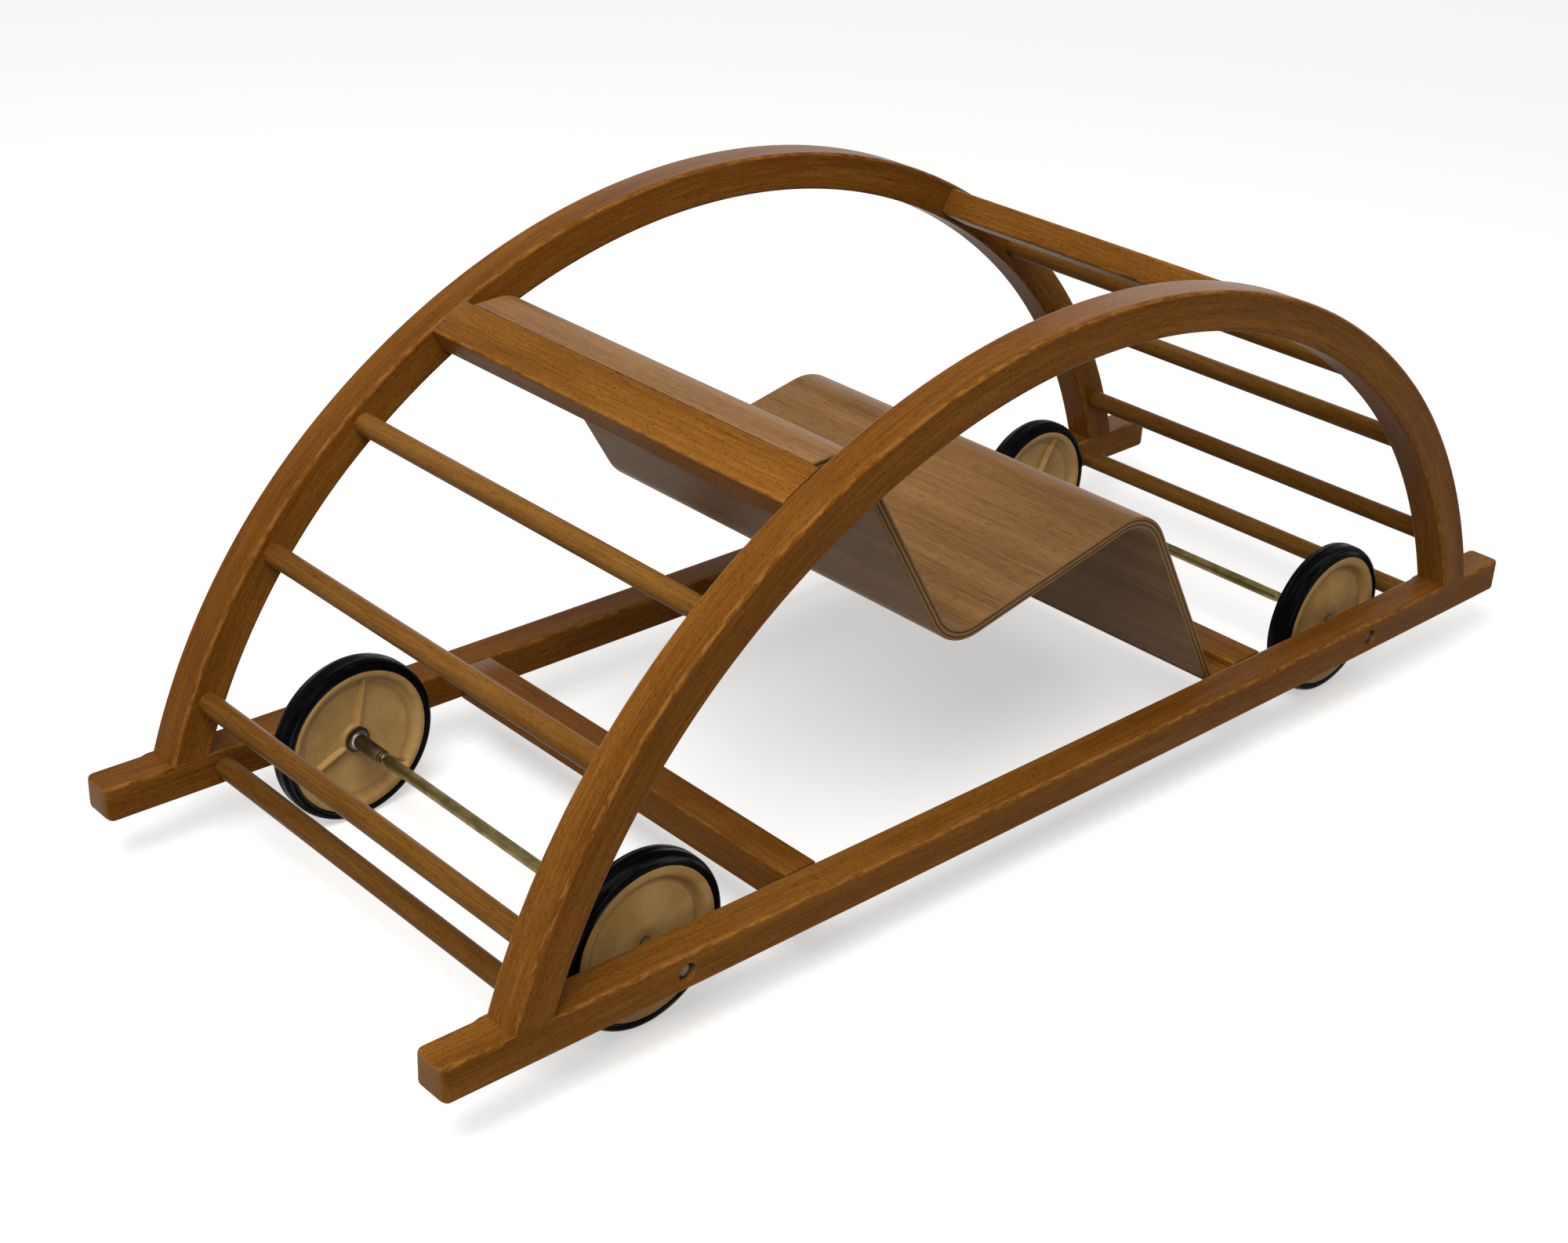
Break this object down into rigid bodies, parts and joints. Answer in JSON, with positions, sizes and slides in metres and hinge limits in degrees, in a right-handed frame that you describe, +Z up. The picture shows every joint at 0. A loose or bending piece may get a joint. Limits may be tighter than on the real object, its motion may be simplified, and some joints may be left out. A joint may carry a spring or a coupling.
{
  "type": "rocking cart",
  "caption": "Bentwood push cart with a moulded plywood seat between two arched sides, rungs at both ends and small wheels; turned over, it rocks on its arches.",
  "frame": {"origin": "on the floor, under the middle of the cart as it stands on its wheels", "axes": "+X forward, from the backrest towards the handle; +Y to the left across the cart; +Z up"},
  "size_m": [0.9974, 0.3804, 0.3838],
  "materials": {
    "arch_left": "varnished beech, satin, lengthwise grain",
    "arch_right": "varnished beech, satin, lengthwise grain",
    "axle_cap_front_left": "zinc plated steel",
    "axle_cap_front_right": "zinc plated steel",
    "axle_cap_rear_left": "zinc plated steel",
    "axle_cap_rear_right": "zinc plated steel",
    "axle_front": "yellow passivated plated steel",
    "axle_rear": "yellow passivated plated steel",
    "backrest_board": "varnished beech, satin, lengthwise grain",
    "bush_front_left": "darkened steel",
    "bush_front_right": "darkened steel",
    "bush_rear_left": "darkened steel",
    "bush_rear_right": "darkened steel",
    "dowel_board_left": "varnished turned beech, satin",
    "dowel_board_right": "varnished turned beech, satin",
    "dowel_foot_front_left": "varnished turned beech, satin",
    "dowel_foot_front_right": "varnished turned beech, satin",
    "dowel_foot_rear_left": "varnished turned beech, satin",
    "dowel_foot_rear_right": "varnished turned beech, satin",
    "dowel_front_crossbar_left": "varnished turned beech, satin",
    "dowel_front_crossbar_right": "varnished turned beech, satin",
    "dowel_handle_left": "varnished turned beech, satin",
    "dowel_handle_right": "varnished turned beech, satin",
    "dowel_rear_crossbar_left": "varnished turned beech, satin",
    "dowel_rear_crossbar_right": "varnished turned beech, satin",
    "front_crossbar": "varnished beech, satin, lengthwise grain",
    "handle_bar": "varnished beech, satin, lengthwise grain",
    "hub_front_left": "yellowed cream moulded plastic",
    "hub_front_right": "yellowed cream moulded plastic",
    "hub_rear_left": "yellowed cream moulded plastic",
    "hub_rear_right": "yellowed cream moulded plastic",
    "rail_left": "varnished beech, satin, lengthwise grain",
    "rail_right": "varnished beech, satin, lengthwise grain",
    "rear_crossbar": "varnished beech, satin, lengthwise grain",
    "rung_front_1": "varnished turned beech, satin",
    "rung_front_2": "varnished turned beech, satin",
    "rung_front_3": "varnished turned beech, satin",
    "rung_front_4": "varnished turned beech, satin",
    "rung_rear_1": "varnished turned beech, satin",
    "rung_rear_2": "varnished turned beech, satin",
    "rung_rear_3": "varnished turned beech, satin",
    "rung_rear_4": "varnished turned beech, satin",
    "seat_shell": "varnished moulded plywood, plies visible on the edges",
    "sleeve_front_left": "zinc plated steel",
    "sleeve_front_right": "zinc plated steel",
    "sleeve_rear_left": "zinc plated steel",
    "sleeve_rear_right": "zinc plated steel",
    "spacer_front_left": "zinc plated steel",
    "spacer_front_right": "zinc plated steel",
    "spacer_rear_left": "zinc plated steel",
    "spacer_rear_right": "zinc plated steel",
    "tyre_front_left": "black rubber with a soft sheen",
    "tyre_front_right": "black rubber with a soft sheen",
    "tyre_rear_left": "black rubber with a soft sheen",
    "tyre_rear_right": "black rubber with a soft sheen"
  },
  "bodies": {
    "frame": {"arch_left": "arch_left", "arch_right": "arch_right", "axle_cap_front_left": "axle_cap_front_left", "axle_cap_front_right": "axle_cap_front_right", "axle_cap_rear_left": "axle_cap_rear_left", "axle_cap_rear_right": "axle_cap_rear_right", "axle_front": "axle_front", "axle_rear": "axle_rear", "backrest_board": "backrest_board", "dowel_board_left": "dowel_board_left", "dowel_board_right": "dowel_board_right", "dowel_foot_front_left": "dowel_foot_front_left", "dowel_foot_front_right": "dowel_foot_front_right", "dowel_foot_rear_left": "dowel_foot_rear_left", "dowel_foot_rear_right": "dowel_foot_rear_right", "dowel_front_crossbar_left": "dowel_front_crossbar_left", "dowel_front_crossbar_right": "dowel_front_crossbar_right", "dowel_handle_left": "dowel_handle_left", "dowel_handle_right": "dowel_handle_right", "dowel_rear_crossbar_left": "dowel_rear_crossbar_left", "dowel_rear_crossbar_right": "dowel_rear_crossbar_right", "front_crossbar": "front_crossbar", "handle_bar": "handle_bar", "rail_left": "rail_left", "rail_right": "rail_right", "rear_crossbar": "rear_crossbar", "rung_front_1": "rung_front_1", "rung_front_2": "rung_front_2", "rung_front_3": "rung_front_3", "rung_front_4": "rung_front_4", "rung_rear_1": "rung_rear_1", "rung_rear_2": "rung_rear_2", "rung_rear_3": "rung_rear_3", "rung_rear_4": "rung_rear_4", "seat_shell": "seat_shell", "sleeve_front_left": "sleeve_front_left", "sleeve_front_right": "sleeve_front_right", "sleeve_rear_left": "sleeve_rear_left", "sleeve_rear_right": "sleeve_rear_right", "spacer_front_left": "spacer_front_left", "spacer_front_right": "spacer_front_right", "spacer_rear_left": "spacer_rear_left", "spacer_rear_right": "spacer_rear_right"},
    "wheel_front_left": {"hub_front_left": "hub_front_left", "tyre_front_left": "tyre_front_left", "bush_front_left": "bush_front_left"},
    "wheel_front_right": {"hub_front_right": "hub_front_right", "tyre_front_right": "tyre_front_right", "bush_front_right": "bush_front_right"},
    "wheel_rear_left": {"hub_rear_left": "hub_rear_left", "tyre_rear_left": "tyre_rear_left", "bush_rear_left": "bush_rear_left"},
    "wheel_rear_right": {"hub_rear_right": "hub_rear_right", "tyre_rear_right": "tyre_rear_right", "bush_rear_right": "bush_rear_right"}
  },
  "joints": [
    {"name": "wheel_front_left_spin", "type": "hinge", "parent": "frame", "child": "wheel_front_left", "pos_m": [0.33008, 0.14705, 0.0575], "axis": [0, 1, 0], "continuous": true},
    {"name": "wheel_front_right_spin", "type": "hinge", "parent": "frame", "child": "wheel_front_right", "pos_m": [0.33008, -0.14705, 0.0575], "axis": [0, 1, 0], "continuous": true},
    {"name": "wheel_rear_left_spin", "type": "hinge", "parent": "frame", "child": "wheel_rear_left", "pos_m": [-0.33008, 0.14705, 0.0575], "axis": [0, 1, 0], "continuous": true},
    {"name": "wheel_rear_right_spin", "type": "hinge", "parent": "frame", "child": "wheel_rear_right", "pos_m": [-0.33008, -0.14705, 0.0575], "axis": [0, 1, 0], "continuous": true}
  ]
}
